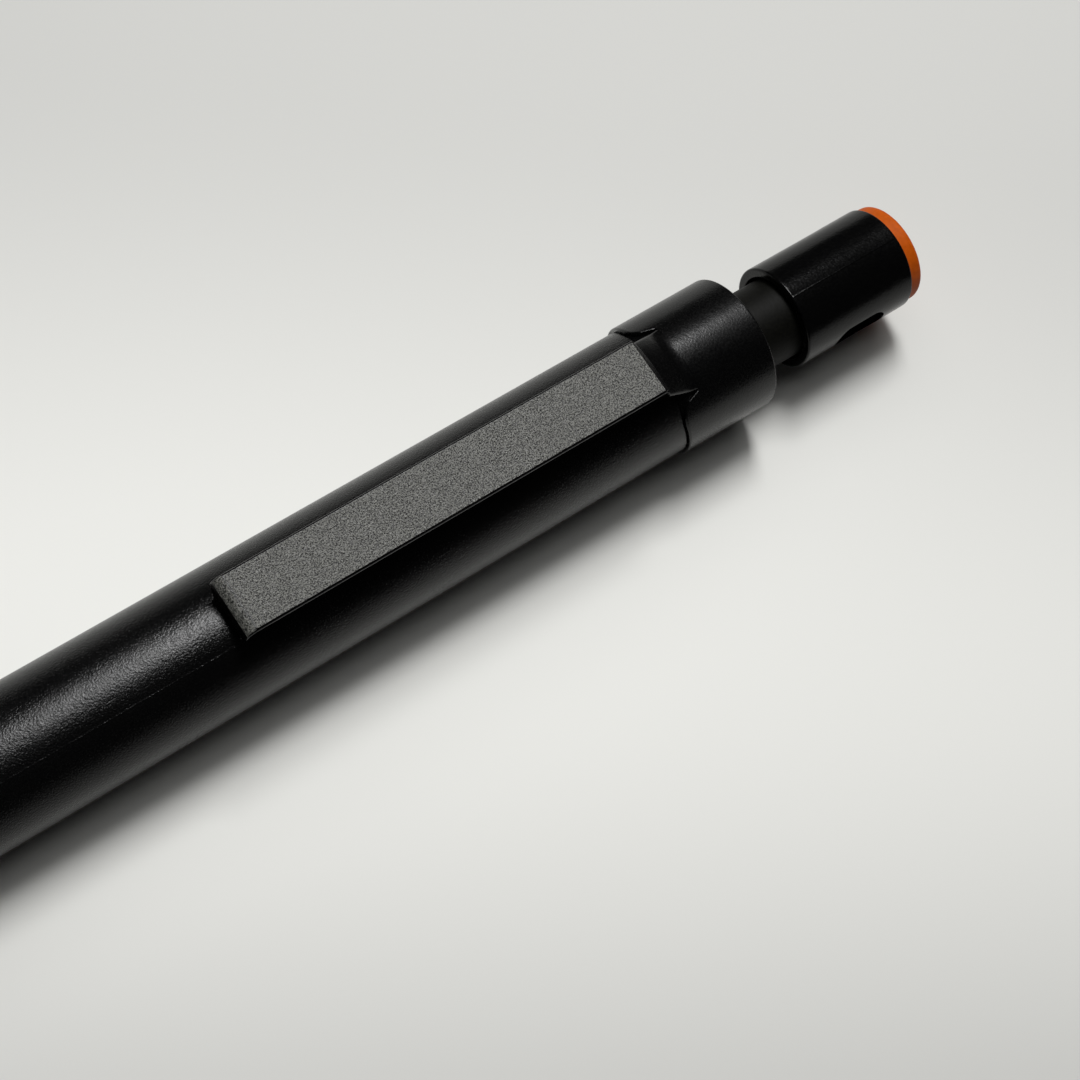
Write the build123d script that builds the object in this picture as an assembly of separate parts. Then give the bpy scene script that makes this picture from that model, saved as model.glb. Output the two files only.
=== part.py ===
from build123d import *
import math
import os

# Mechanical pencil with a clip, a push button and an end disc. Millimetres.
# X runs along the pencil's axis from the writing point (X = 0) to the button, and Z points up through
# the clip. Every piece is written at rest: button out, jaws shut, clip down on the barrel.

# --- lengths along the axis, from the writing point to the button ---
SLEEVE_EXPOSED = 4.0       # steel lead sleeve in front of the cone
CONE_LENGTH = 10.5         # visible part of the front cone
BARREL_LENGTH = 107.0      # cone to the seam at the clip collar
COLLAR_LENGTH = 7.53       # clip collar behind the seam
NECK_SHOWN = 3.63          # rear holder seen between collar and button
BUTTON_LENGTH = 9.22
DISC_THICKNESS = 1.08

# --- outside radii ---
BARREL_RADIUS = 4.5
COLLAR_RADIUS = 4.73
HOLDER_RADIUS = 2.85       # the neck
BUTTON_RADIUS = 3.7
DISC_RADIUS = 3.52
SLEEVE_RADIUS = 0.5
CONE_TIP_RADIUS = 1.15
CONE_BASE_RADIUS = 4.2

# --- travels ---
PRESS_TRAVEL = 3.0         # button stroke
RING_TRAVEL = 0.8          # the clutch ring and the lead advance this far in one stroke
JAW_OPENING = 1.5          # degrees that each jaw swings out at full stroke

# --- clearances ---
RUNNING = 0.08             # radial, between pieces that slide
STOP_GAP = 0.05            # along the axis, at end stops
BORE_WALL_PLAY = 0.15      # radial, neck to barrel bore
LEAD_PLAY = 0.03           # radial, lead in its sleeve and in the shut jaws
SPRING_PLAY = 0.02         # spring ends to their seats

# --- barrel and grip ---
BARREL_BORE = HOLDER_RADIUS + BORE_WALL_PLAY
FRONT_LIP_LENGTH = 3.0     # bare barrel in front of the grip
GRIP_LENGTH = 29.0
GRIP_THICKNESS = 0.55
GRIP_GROOVES = 14
GRIP_GROOVE_WIDTH = 0.7
GRIP_GROOVE_DEPTH = 0.3
REAR_WALL = 0.6            # barrel wall round the collar's spigot
SPIGOT_LENGTH = 8.0
SPIGOT_END_GAP = 0.2

# --- front cone, lead sleeve and retainer ---
NOSE_WALL = 1.4            # cone in front of the sleeve's shank
SLEEVE_NECK_RADIUS = 0.8   # sleeve in the nose's bore
NOSE_LENGTH = 0.9          # short straight nose of the cone
NOSE_ROUND = 0.25
CONE_STEP_LENGTH = 0.9     # straight band at the cone's base
CONE_STEP = 0.15
SHANK_RADIUS = 0.95
SHANK_LENGTH = 1.6
RETAINER_RADIUS = 1.1
RETAINER_LENGTH = 1.6
RETAINER_GRIP = 0.01       # retainer bore over the lead
STUB_LENGTH = 4.9          # threaded stub that screws into the barrel
STUB_RADIUS = 3.35
THREAD_PLAY = 0.05

# --- chuck ---
LEAD_RADIUS = 0.25
LEAD_LENGTH = 60.0
LEAD_SETBACK = 0.3         # lead drawn back into the sleeve
HEAD_RADIUS = 1.45         # front of the jaws' taper
HEAD_REAR_RADIUS = 1.05
HEAD_LENGTH = 3.0
JAW_STEM_RADIUS = 1.0
JAW_LENGTH = 9.0
JAW_COUNT = 3
JAW_SLOT = 0.25            # saw cuts between the jaws
JAW_END_GAP = 0.4          # jaws to retainer at full stroke
OPEN_JAW_GAP = 0.1         # open jaws to the cone's bore
STEM_BORE = 0.35
STEM_PLUG = 3.0            # stem held in the reservoir coupler
RING_SETBACK = 1.2         # jaws' front to ring
RING_LENGTH = 2.0
RING_RADIUS = 2.0
RING_PLAY = 0.02           # ring bore over the jaws' taper

# --- clutch housing and spring ---
FLANGE_THICKNESS = 1.0
HOUSING_PLAY = 0.05        # housing tube in the barrel's bore
HOUSING_BORE_PLAY = 0.35   # jaw stems in the housing's nose
SEAT_DEPTH = 1.55          # barrel shoulder to spring seat
CHAMBER_RADIUS = 2.25
SPRING_LENGTH = 10.5       # as fitted
SPRING_WIRE_RADIUS = 0.2
SPRING_RADIUS = 1.65       # to the wire's centre
SPRING_TURNS = 9

# --- lead reservoir ---
COUPLER_OVERLAP = 1.5      # coupler nose inside the housing
COUPLER_STROKE_GAP = 0.5   # coupler body to housing at full stroke
COUPLER_RADIUS = 2.6
COUPLER_BODY_LENGTH = 4.0
COUPLER_SPIGOT_LENGTH = 5.0
TUBE_RADIUS = 2.0
TUBE_WALL = 0.4
FUNNEL_RADIUS = 1.2
FUNNEL_LENGTH = 2.5
SPARE_LEADS = 3
SPARE_LEAD_GAP = 0.03
SPARE_LEAD_SETBACK = 8.0   # coupler spigot to the spare leads

# --- rear holder, eraser and button ---
HOLDER_HIDDEN = 12.0       # holder hidden in collar and barrel
TUBE_SEAT_DEPTH = 8.0
HOLDER_WEB = 2.0
WEB_HOLE_RADIUS = 1.45
BUTTON_END_WALL = 1.0
BUTTON_PLAY = 0.05
LIP_ROUND = 0.75
BUTTON_EDGE_ROUND = 0.2
PLUG_RADIUS = 1.5          # end disc's plug in the button
DISC_ROUND = 0.3
ERASER_GAP = 0.4           # eraser to the button's floor
ERASER_SHOWN = 1.4         # eraser beyond the ferrule's rim
ERASER_RADIUS = 2.05
ERASER_ROUND = 0.35
FERRULE_WALL = 0.25
FERRULE_DEPTH = 7.5
FERRULE_RIM = 0.4
NEEDLE_RADIUS = 0.2
NEEDLE_LENGTH = 12.0
BUTTON_SLOT_LENGTH = 4.25
BUTTON_SLOT_WIDTH = 2.3
BUTTON_SLOT_SETBACK = 2.74 # button's front lip to the slot

# --- clip collar and clip ---
COLLAR_CHAMFER = 0.22
COLLAR_CHAMFER_LENGTH = 0.5
COLLAR_REAR_ROUND = 0.9
NOTCH_DEPTH = 1.55         # collar cut back round the clip's root
NOTCH_HALF_WIDTH = 3.68    # at the seam
NOTCH_WAIST = 0.8          # from the seam to the middle of the notch's flank
NOTCH_WAIST_HALF_WIDTH = 3.3
NOTCH_FLOOR_RADIUS = 3.6
ROOT_PLAY = 0.05           # clip root to the notch's sides
ROOT_GAP = 0.15            # clip root to barrel and notch floor
CLIP_TOP = 6.3             # height of the clip's flat above the axis
CLIP_THICKNESS = 0.9
CLIP_WIDTH = 4.06
CLIP_REACH = 32.6          # seam to the clip's tip
CLIP_FLAT_END = 1.43       # seam to the rear end of the flat
CLIP_ROOT_REACH = 3.5      # seam to where the underside starts to drop
CLIP_TIP_ROUND = 0.55
CLIP_EDGE_ROUND = 0.12
CLIP_SHOULDER_ROUND = 0.8
CLIP_ROOT_FLARE = 0.57     # how much wider each side is at the root
FOOT_LENGTH = 1.5
FOOT_ROUND = 0.5
FOOT_GAP = 0.03            # foot to the barrel's crest
ROOT_CREST = 0.35          # level stretch where the clip meets the collar
CLIP_CREST_SWELL = 1.95    # how much larger the root's rounded back gets towards the flat

# --- stations along the axis ---
X_CONE = SLEEVE_EXPOSED
X_BARREL = X_CONE + CONE_LENGTH
X_SEAM = X_BARREL + BARREL_LENGTH
X_COLLAR_END = X_SEAM + COLLAR_LENGTH
X_BUTTON = X_COLLAR_END + NECK_SHOWN
X_DISC = X_BUTTON + BUTTON_LENGTH
X_END = X_DISC + DISC_THICKNESS

X_SHANK = X_CONE + NOSE_WALL
X_RETAINER = X_SHANK + SHANK_LENGTH
X_JAW_CAVITY = X_RETAINER + RETAINER_LENGTH
X_JAWS = X_JAW_CAVITY + JAW_END_GAP + PRESS_TRAVEL
X_JAW_ROOT = X_JAWS + JAW_LENGTH
X_RING = X_JAWS + RING_SETBACK
X_RING_STOP = X_RING - RING_TRAVEL - STOP_GAP
X_HOUSING = X_RING + RING_LENGTH + STOP_GAP
X_FLANGE = X_BARREL + STUB_LENGTH + STOP_GAP
X_SHOULDER = X_FLANGE + FLANGE_THICKNESS
X_SEAT = X_SHOULDER + SEAT_DEPTH
X_COUPLER = X_SEAT + SPRING_LENGTH
X_HOUSING_END = X_COUPLER + COUPLER_OVERLAP
X_COUPLER_BODY = X_HOUSING_END + PRESS_TRAVEL + COUPLER_STROKE_GAP
X_TUBE = X_COUPLER_BODY + COUPLER_BODY_LENGTH
X_COUPLER_END = X_TUBE + COUPLER_SPIGOT_LENGTH

X_HOLDER = X_COLLAR_END - HOLDER_HIDDEN
X_TUBE_END = X_HOLDER + TUBE_SEAT_DEPTH
X_WEB_END = X_TUBE_END + HOLDER_WEB
X_BUTTON_FLOOR = X_DISC - BUTTON_END_WALL
X_ERASER_END = X_BUTTON_FLOOR - ERASER_GAP
X_RIM_END = X_ERASER_END - ERASER_SHOWN
X_HOLDER_END = X_RIM_END - FERRULE_RIM
X_FERRULE = X_HOLDER_END - FERRULE_DEPTH
X_ERASER = X_FERRULE + FERRULE_WALL

X_GRIP = X_BARREL + FRONT_LIP_LENGTH
X_GRIP_END = X_GRIP + GRIP_LENGTH
X_NOTCH_END = X_SEAM + NOTCH_DEPTH
X_CLIP_TIP = X_SEAM - CLIP_REACH

# --- radii that follow from the sizes above ---
GRIP_SEAT_RADIUS = BARREL_RADIUS - GRIP_THICKNESS
FRONT_BORE = STUB_RADIUS + THREAD_PLAY
REAR_BORE = BARREL_RADIUS - REAR_WALL
COLLAR_BORE = HOLDER_RADIUS + RUNNING
RING_CAVITY = RING_RADIUS + RUNNING
RING_BORE = HEAD_RADIUS - (HEAD_RADIUS - HEAD_REAR_RADIUS) * RING_SETBACK / HEAD_LENGTH + RING_PLAY
JAW_SWING = JAW_LENGTH * math.sin(math.radians(JAW_OPENING))
JAW_CAVITY = HEAD_RADIUS + JAW_SWING + OPEN_JAW_GAP
LEAD_BORE = LEAD_RADIUS + LEAD_PLAY
HOUSING_BORE = JAW_STEM_RADIUS + HOUSING_BORE_PLAY
COUPLER_NOSE_RADIUS = CHAMBER_RADIUS - RUNNING
TUBE_BORE = TUBE_RADIUS - TUBE_WALL
FERRULE_RADIUS = ERASER_RADIUS + FERRULE_WALL
BUTTON_BORE = HOLDER_RADIUS + BUTTON_PLAY


def turned(outline, rounds=()):
    """A solid turned about the X axis from (x, radius) corners; rounds lists (corner, fillet radius)."""
    face = make_face(Polyline(*outline, close=True))
    for corner, radius in rounds:
        vertex = face.vertices().sort_by_distance((*corner, 0))[0]
        face = fillet(vertex, radius)
    return revolve(face, Axis.X)


def tube(start, end, outer, inner):
    """A plain tube on the X axis."""
    return turned([(start, inner), (end, inner), (end, outer), (start, outer)])


def rod(start, end, radius):
    """A plain round bar on the X axis."""
    return turned([(start, 0), (end, 0), (end, radius), (start, radius)])


def barrel_tube():
    lip = CONE_BASE_RADIUS
    return turned([
        (X_BARREL, FRONT_BORE), (X_SHOULDER, FRONT_BORE), (X_SHOULDER, BARREL_BORE),
        (X_SEAM - SPIGOT_LENGTH - SPIGOT_END_GAP, BARREL_BORE),
        (X_SEAM - SPIGOT_LENGTH - SPIGOT_END_GAP, REAR_BORE), (X_SEAM, REAR_BORE),
        (X_SEAM, BARREL_RADIUS), (X_GRIP_END, BARREL_RADIUS), (X_GRIP_END, GRIP_SEAT_RADIUS),
        (X_GRIP, GRIP_SEAT_RADIUS), (X_GRIP, BARREL_RADIUS), (X_BARREL, lip),
    ])


def grip_sleeve():
    sleeve = tube(X_GRIP, X_GRIP_END, BARREL_RADIUS, GRIP_SEAT_RADIUS)
    pitch = GRIP_LENGTH / (GRIP_GROOVES + 1)
    for number in range(GRIP_GROOVES):
        middle = X_GRIP + pitch * (number + 1)
        start = middle - GRIP_GROOVE_WIDTH / 2
        end = middle + GRIP_GROOVE_WIDTH / 2
        sleeve -= tube(start, end, BARREL_RADIUS + GRIP_GROOVE_DEPTH, BARREL_RADIUS - GRIP_GROOVE_DEPTH)
    return sleeve


def front_cone():
    """Nose, taper and stub, bored in steps for the sleeve's shank, the retainer, the jaws and the ring."""
    band = X_BARREL - CONE_STEP_LENGTH
    return turned(
        [
            (X_CONE, SLEEVE_NECK_RADIUS), (X_SHANK, SLEEVE_NECK_RADIUS), (X_SHANK, SHANK_RADIUS),
            (X_RETAINER, SHANK_RADIUS), (X_RETAINER, RETAINER_RADIUS),
            (X_JAW_CAVITY, RETAINER_RADIUS), (X_JAW_CAVITY, JAW_CAVITY),
            (X_RING_STOP, JAW_CAVITY), (X_RING_STOP, RING_CAVITY),
            (X_BARREL + STUB_LENGTH, RING_CAVITY), (X_BARREL + STUB_LENGTH, STUB_RADIUS),
            (X_BARREL, STUB_RADIUS), (X_BARREL, CONE_BASE_RADIUS), (band, CONE_BASE_RADIUS),
            (band, CONE_BASE_RADIUS - CONE_STEP), (X_CONE + NOSE_LENGTH, CONE_TIP_RADIUS),
            (X_CONE, CONE_TIP_RADIUS),
        ],
        [((X_CONE, CONE_TIP_RADIUS), NOSE_ROUND)],
    )


def lead_sleeve():
    """A thin tube that thickens in two steps inside the cone, so that it can't be pulled out."""
    return turned([
        (0, LEAD_BORE), (X_RETAINER, LEAD_BORE), (X_RETAINER, SHANK_RADIUS), (X_SHANK, SHANK_RADIUS),
        (X_SHANK, SLEEVE_NECK_RADIUS), (X_CONE, SLEEVE_NECK_RADIUS), (X_CONE, SLEEVE_RADIUS),
        (0, SLEEVE_RADIUS),
    ])


def lead_retainer():
    return tube(X_RETAINER, X_JAW_CAVITY, RETAINER_RADIUS, LEAD_RADIUS + RETAINER_GRIP)


def clutch_housing():
    """A nose that guides the jaws, a flange clamped by the cone, and the chamber of the return spring."""
    outer = BARREL_BORE - HOUSING_PLAY
    return turned([
        (X_HOUSING, HOUSING_BORE), (X_SEAT, HOUSING_BORE), (X_SEAT, CHAMBER_RADIUS),
        (X_HOUSING_END, CHAMBER_RADIUS), (X_HOUSING_END, outer), (X_SHOULDER, outer),
        (X_SHOULDER, STUB_RADIUS), (X_FLANGE, STUB_RADIUS), (X_FLANGE, RING_RADIUS),
        (X_HOUSING, RING_RADIUS),
    ])


def clutch_ring():
    return tube(X_RING, X_RING + RING_LENGTH, RING_RADIUS, RING_BORE)


def chuck_jaws():
    """The split collet: a tapered head on a thin stem, sawn lengthways into equal jaws."""
    collet = turned([
        (X_JAWS, LEAD_BORE), (X_JAW_ROOT, LEAD_BORE), (X_JAW_ROOT, JAW_STEM_RADIUS),
        (X_JAWS + HEAD_LENGTH, JAW_STEM_RADIUS), (X_JAWS + HEAD_LENGTH, HEAD_REAR_RADIUS),
        (X_JAWS, HEAD_RADIUS),
    ])
    step = 360 / JAW_COUNT
    for number in range(JAW_COUNT):
        cut = Pos(X_JAWS + JAW_LENGTH / 2, 0, HEAD_RADIUS) * Box(2 * JAW_LENGTH, JAW_SLOT, 2 * HEAD_RADIUS)
        collet -= Rot(step / 2 + step * number, 0, 0) * cut
    jaws = []
    for number in range(JAW_COUNT):
        turn = math.radians(step * number)
        outward = Vector(X_JAWS + JAW_LENGTH / 2, -HEAD_RADIUS * math.sin(turn), HEAD_RADIUS * math.cos(turn))
        jaws.append(collet.solids().sort_by_distance(outward)[0])
    return jaws


def chuck_body():
    return tube(X_JAW_ROOT, X_COUPLER + STEM_PLUG, JAW_STEM_RADIUS, STEM_BORE)


def return_spring():
    """Round wire wound on the chuck's stem, between the housing's seat and the coupler's nose."""
    start = X_SEAT + SPRING_WIRE_RADIUS + SPRING_PLAY
    height = SPRING_LENGTH - 2 * (SPRING_WIRE_RADIUS + SPRING_PLAY)
    path = Helix(height / SPRING_TURNS, height, SPRING_RADIUS, center=(start, 0, 0), direction=(1, 0, 0))
    section = Plane(path @ 0, z_dir=path % 0) * Circle(SPRING_WIRE_RADIUS)
    return sweep(section, path, is_frenet=True)


def reservoir_coupler():
    stem_end = X_COUPLER + STEM_PLUG
    return turned([
        (X_COUPLER, JAW_STEM_RADIUS), (stem_end, JAW_STEM_RADIUS), (stem_end, STEM_BORE),
        (X_COUPLER_END - FUNNEL_LENGTH, STEM_BORE), (X_COUPLER_END, FUNNEL_RADIUS),
        (X_COUPLER_END, TUBE_BORE), (X_TUBE, TUBE_BORE), (X_TUBE, COUPLER_RADIUS),
        (X_COUPLER_BODY, COUPLER_RADIUS), (X_COUPLER_BODY, COUPLER_NOSE_RADIUS),
        (X_COUPLER, COUPLER_NOSE_RADIUS),
    ])


def reservoir_tube():
    return tube(X_TUBE, X_TUBE_END, TUBE_RADIUS, TUBE_BORE)


def rear_holder():
    """The neck: it grips the reservoir tube in front and holds the eraser's ferrule behind."""
    return turned([
        (X_HOLDER, TUBE_RADIUS), (X_TUBE_END, TUBE_RADIUS), (X_TUBE_END, WEB_HOLE_RADIUS),
        (X_WEB_END, WEB_HOLE_RADIUS), (X_WEB_END, FERRULE_RADIUS), (X_HOLDER_END, FERRULE_RADIUS),
        (X_HOLDER_END, HOLDER_RADIUS), (X_HOLDER, HOLDER_RADIUS),
    ])


def eraser_ferrule():
    """A cup with a rim that stops on the holder's end."""
    return turned([
        (X_FERRULE, 0), (X_ERASER, 0), (X_ERASER, ERASER_RADIUS), (X_RIM_END, ERASER_RADIUS),
        (X_RIM_END, HOLDER_RADIUS), (X_HOLDER_END, HOLDER_RADIUS), (X_HOLDER_END, FERRULE_RADIUS),
        (X_FERRULE, FERRULE_RADIUS),
    ])


def eraser():
    outline = [(X_ERASER, 0), (X_ERASER_END, 0), (X_ERASER_END, ERASER_RADIUS), (X_ERASER, ERASER_RADIUS)]
    return turned(outline, [((X_ERASER_END, ERASER_RADIUS), ERASER_ROUND)])


def cleaning_needle():
    return rod(X_FERRULE - NEEDLE_LENGTH, X_FERRULE, NEEDLE_RADIUS)


def push_button():
    """A cap with a rounded front lip, a hole in its end wall for the disc's plug, and two side slots."""
    cap = turned(
        [
            (X_BUTTON, BUTTON_BORE), (X_BUTTON_FLOOR, BUTTON_BORE), (X_BUTTON_FLOOR, PLUG_RADIUS),
            (X_DISC, PLUG_RADIUS), (X_DISC, BUTTON_RADIUS), (X_BUTTON, BUTTON_RADIUS),
        ],
        [((X_BUTTON, BUTTON_RADIUS), LIP_ROUND), ((X_DISC, BUTTON_RADIUS), BUTTON_EDGE_ROUND)],
    )
    middle = X_BUTTON + BUTTON_SLOT_SETBACK + BUTTON_SLOT_LENGTH / 2
    outline = Plane.XZ * SlotOverall(BUTTON_SLOT_LENGTH, BUTTON_SLOT_WIDTH)
    return cap - Pos(middle, 0, 0) * extrude(outline, amount=2 * BUTTON_RADIUS, both=True)


def end_disc():
    outline = [
        (X_BUTTON_FLOOR, 0), (X_END, 0), (X_END, DISC_RADIUS), (X_DISC, DISC_RADIUS),
        (X_DISC, PLUG_RADIUS), (X_BUTTON_FLOOR, PLUG_RADIUS),
    ]
    return turned(outline, [((X_END, DISC_RADIUS), DISC_ROUND)])


def loaded_lead():
    return rod(LEAD_SETBACK, LEAD_SETBACK + LEAD_LENGTH, LEAD_RADIUS)


def spare_leads():
    """Leads lying side by side in the bottom of the reservoir tube."""
    rest = TUBE_BORE - LEAD_RADIUS - SPARE_LEAD_GAP
    step = 2 * math.degrees(math.asin((LEAD_RADIUS + SPARE_LEAD_GAP) / rest))
    start = X_COUPLER_END + SPARE_LEAD_SETBACK
    leads = []
    for number in range(SPARE_LEADS):
        turn = step * (number - (SPARE_LEADS - 1) / 2)
        leads.append(Rot(turn, 0, 0) * Pos(0, 0, -rest) * rod(start, start + LEAD_LENGTH, LEAD_RADIUS))
    return Compound(leads)


def clip_collar():
    """The ring behind the seam, its spigot in the barrel, and the notch that frees the clip's root."""
    spigot = X_SEAM - SPIGOT_LENGTH
    ring = turned(
        [
            (spigot, COLLAR_BORE), (X_COLLAR_END, COLLAR_BORE), (X_COLLAR_END, COLLAR_RADIUS),
            (X_SEAM + COLLAR_CHAMFER_LENGTH, COLLAR_RADIUS), (X_SEAM, COLLAR_RADIUS - COLLAR_CHAMFER),
            (X_SEAM, REAR_BORE), (spigot, REAR_BORE),
        ],
        [((X_COLLAR_END, COLLAR_RADIUS), COLLAR_REAR_ROUND)],
    )
    end_half_width = CLIP_WIDTH / 2 + CLIP_ROOT_FLARE + ROOT_PLAY
    side = [
        (X_SEAM, NOTCH_HALF_WIDTH), (X_SEAM + NOTCH_WAIST, NOTCH_WAIST_HALF_WIDTH),
        (X_NOTCH_END, end_half_width),
    ]
    outline = side + [(x, -y) for x, y in reversed(side)]
    notch = extrude(make_face(Polyline(*outline, close=True)), amount=2 * COLLAR_RADIUS)
    return ring - (notch - rod(X_SEAM, X_NOTCH_END, NOTCH_FLOOR_RADIUS))


def clip_arm():
    """A flat bar with a foot at its tip, whose rounded and flared root meets the collar in the notch."""
    underside = CLIP_TOP - CLIP_THICKNESS
    foot_bottom = BARREL_RADIUS + FOOT_GAP
    root_bottom = NOTCH_FLOOR_RADIUS + ROOT_GAP
    barrel_bottom = BARREL_RADIUS + ROOT_GAP
    tip_corner = (X_CLIP_TIP, CLIP_TOP)
    foot_corner = (X_CLIP_TIP + FOOT_LENGTH, underside)
    shoulder = (X_SEAM - CLIP_FLAT_END, CLIP_TOP)
    profile = make_face(Polyline(
        (X_CLIP_TIP, foot_bottom), tip_corner, shoulder, (X_NOTCH_END - ROOT_CREST, COLLAR_RADIUS),
        (X_NOTCH_END, COLLAR_RADIUS), (X_NOTCH_END, root_bottom), (X_SEAM + ROOT_GAP, root_bottom),
        (X_SEAM + ROOT_GAP, barrel_bottom), (X_SEAM - ROOT_GAP, barrel_bottom),
        (X_SEAM - CLIP_ROOT_REACH, underside), foot_corner,
        (X_CLIP_TIP + FOOT_LENGTH, foot_bottom), close=True,
    ))
    corners = [(tip_corner, CLIP_TIP_ROUND), (shoulder, CLIP_SHOULDER_ROUND), (foot_corner, FOOT_ROUND)]
    for corner, radius in corners:
        profile = fillet(profile.vertices().sort_by_distance((*corner, 0))[0], radius)
    reach = CLIP_WIDTH / 2 + CLIP_ROOT_FLARE
    bar = extrude(Plane.XZ * profile, amount=reach, both=True)

    flare_start = X_SEAM - CLIP_FLAT_END
    flare = TangentArc((flare_start, CLIP_WIDTH / 2), (X_NOTCH_END, reach), tangent=(1, 0))
    side = [
        Line((X_CLIP_TIP, CLIP_WIDTH / 2), (flare_start, CLIP_WIDTH / 2)),
        flare,
        Line((X_NOTCH_END, reach), (X_NOTCH_END, -reach)),
    ]
    other = [mirror(edge, Plane.XZ) for edge in side[:2]]
    front = Line((X_CLIP_TIP, -CLIP_WIDTH / 2), (X_CLIP_TIP, CLIP_WIDTH / 2))
    plan = extrude(make_face(side + other + [front]), amount=2 * CLIP_TOP)

    back = turned([
        (X_CLIP_TIP, 0), (X_NOTCH_END, 0), (X_NOTCH_END, COLLAR_RADIUS),
        (flare_start, COLLAR_RADIUS + CLIP_CREST_SWELL), (X_CLIP_TIP, COLLAR_RADIUS + CLIP_CREST_SWELL),
    ])
    floor = rod(X_SEAM - ROOT_GAP, X_NOTCH_END, root_bottom)
    floor += rod(X_CLIP_TIP + FOOT_LENGTH, X_SEAM + ROOT_GAP, barrel_bottom)
    arm = (bar & plan & back) - floor
    long_edges = arm.edges().filter_by(Axis.X).group_by(Axis.Z)[-1]
    return fillet(long_edges, CLIP_EDGE_ROUND)


def pieces():
    """Every node's name and shape."""
    found = {
        "barrel_tube": barrel_tube(),
        "grip_sleeve": grip_sleeve(),
        "front_cone": front_cone(),
        "lead_sleeve": lead_sleeve(),
        "lead_retainer": lead_retainer(),
        "clutch_housing": clutch_housing(),
        "clutch_ring": clutch_ring(),
        "chuck_body": chuck_body(),
        "return_spring": return_spring(),
        "reservoir_coupler": reservoir_coupler(),
        "reservoir_tube": reservoir_tube(),
        "rear_holder": rear_holder(),
        "eraser_ferrule": eraser_ferrule(),
        "eraser": eraser(),
        "cleaning_needle": cleaning_needle(),
        "push_button": push_button(),
        "end_disc": end_disc(),
        "loaded_lead": loaded_lead(),
        "spare_leads": spare_leads(),
        "clip_collar": clip_collar(),
        "clip_arm": clip_arm(),
    }
    for number, jaw in enumerate(chuck_jaws(), start=1):
        found[f"chuck_jaw_{number}"] = jaw
    return found


os.makedirs("parts", exist_ok=True)
for name, shape in pieces().items():
    export_step(shape, f"parts/{name}.step")
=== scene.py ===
import math

import bmesh
import bpy
from mathutils import Matrix, Vector


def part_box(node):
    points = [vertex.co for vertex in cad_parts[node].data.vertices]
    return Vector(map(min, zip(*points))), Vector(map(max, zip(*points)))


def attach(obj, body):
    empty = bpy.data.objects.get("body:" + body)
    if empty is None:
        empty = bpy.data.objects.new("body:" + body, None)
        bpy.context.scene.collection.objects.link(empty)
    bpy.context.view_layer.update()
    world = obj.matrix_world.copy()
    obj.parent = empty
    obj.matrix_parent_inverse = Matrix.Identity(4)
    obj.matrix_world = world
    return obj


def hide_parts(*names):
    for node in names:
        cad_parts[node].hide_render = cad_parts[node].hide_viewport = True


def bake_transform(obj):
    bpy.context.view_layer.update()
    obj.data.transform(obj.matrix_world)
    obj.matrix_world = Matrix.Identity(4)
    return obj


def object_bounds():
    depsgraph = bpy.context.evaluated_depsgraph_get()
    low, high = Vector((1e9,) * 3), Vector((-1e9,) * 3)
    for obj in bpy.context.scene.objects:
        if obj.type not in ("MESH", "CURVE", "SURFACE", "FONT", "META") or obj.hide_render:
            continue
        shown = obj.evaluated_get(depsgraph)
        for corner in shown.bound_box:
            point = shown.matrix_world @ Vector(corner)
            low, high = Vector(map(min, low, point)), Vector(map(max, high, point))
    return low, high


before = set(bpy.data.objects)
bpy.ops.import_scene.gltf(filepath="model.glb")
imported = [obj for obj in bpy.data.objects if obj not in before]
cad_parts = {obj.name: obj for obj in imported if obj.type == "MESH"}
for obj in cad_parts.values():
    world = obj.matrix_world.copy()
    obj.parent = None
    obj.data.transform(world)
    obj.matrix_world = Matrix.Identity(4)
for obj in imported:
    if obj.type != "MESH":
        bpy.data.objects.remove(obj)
cad_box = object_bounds()

# A mechanical pencil, dressed round its CAD frame. Lengths are in millimetres here, and become metres where
# a mesh, lamp or camera is made. X runs from the writing point to the button and Z points up through the
# clip. An azimuth is an angle about X in degrees: 0 is the clip's side and 90 is +Y.
MM = 0.001


def span(node):
    """The lowest and highest corner of a CAD node, in millimetres."""
    low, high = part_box(node)
    return low / MM, high / MM


# --- stations and radii that follow from the frame ---
X_CONE = span("front_cone")[0].x
X_BARREL, X_SEAM = span("barrel_tube")[0].x, span("barrel_tube")[1].x
X_GRIP, X_GRIP_END = span("grip_sleeve")[0].x, span("grip_sleeve")[1].x
X_STUB_END = span("front_cone")[1].x
X_COLLAR_END = span("clip_collar")[1].x
X_SPIGOT = span("clip_collar")[0].x
X_HOLDER, X_HOLDER_END = span("rear_holder")[0].x, span("rear_holder")[1].x
X_BUTTON, X_DISC = span("push_button")[0].x, span("push_button")[1].x
X_BUTTON_FLOOR, X_END = span("end_disc")[0].x, span("end_disc")[1].x
X_CLIP_TIP, X_NOTCH_END = span("clip_arm")[0].x, span("clip_arm")[1].x
BARREL_RADIUS = span("barrel_tube")[1].z
COLLAR_RADIUS = span("clip_collar")[1].z
CONE_BASE_RADIUS = span("front_cone")[1].z
HOLDER_RADIUS = span("rear_holder")[1].z
BUTTON_RADIUS = span("push_button")[1].z
DISC_RADIUS = span("end_disc")[1].z
CLIP_TOP = span("clip_arm")[1].z
CLIP_ROOT_HALF_WIDTH = span("clip_arm")[1].y
FLOOR_HEIGHT = cad_box[0][2] / MM

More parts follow.
